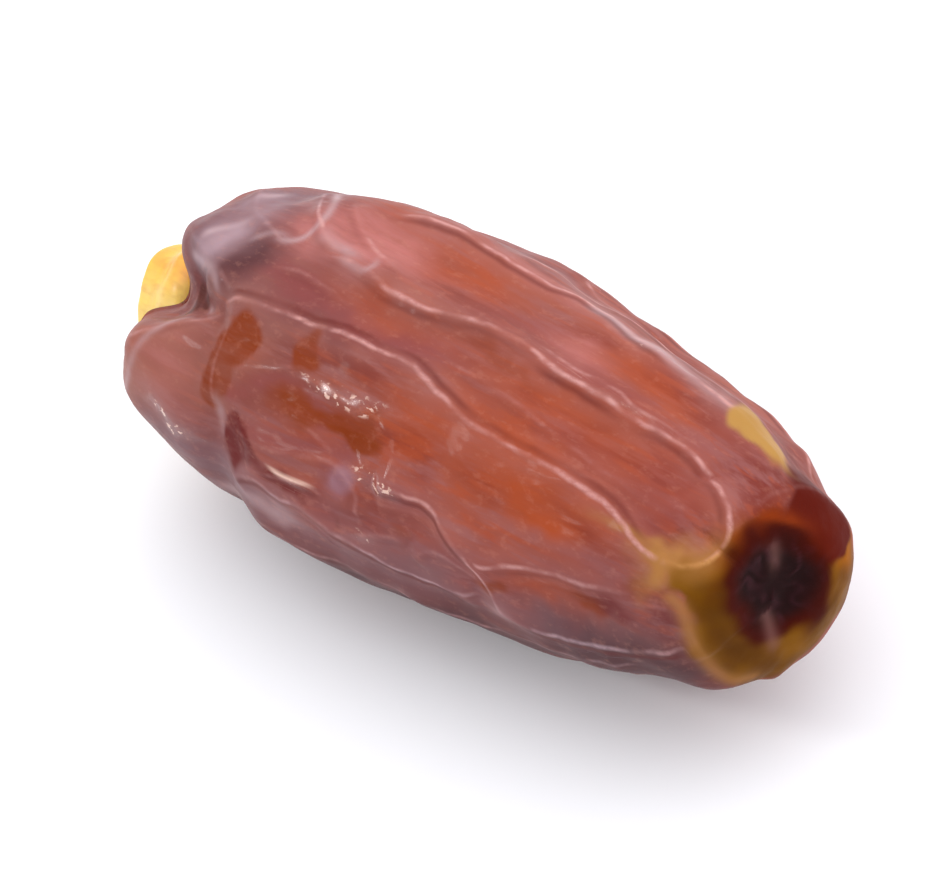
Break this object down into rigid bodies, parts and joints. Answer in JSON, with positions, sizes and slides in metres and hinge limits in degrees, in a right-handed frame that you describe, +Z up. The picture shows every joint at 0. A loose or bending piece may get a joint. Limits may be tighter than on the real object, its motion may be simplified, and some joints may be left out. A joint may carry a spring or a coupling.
{
  "type": "mabroom date",
  "caption": "Dried mabroom date lying on its side, with a wrinkled translucent skin, pale ridges, a dark tip and a dry yellow calyx.",
  "frame": {"origin": "on the resting plane, under the middle of the date's box", "axes": "+X along the date from the stem end to the tip, +Z up, +Y to the far side"},
  "size_m": [0.053, 0.023, 0.0201],
  "materials": {
    "date_skin": "thin glossy wrinkled fruit skin, reddish brown and translucent, paler on the ridges",
    "calyx": "dry waxy calyx, golden yellow, semi-gloss"
  },
  "bodies": {
    "root": {"date_fruit": "date_skin", "calyx_cap": "calyx"}
  },
  "joints": []
}
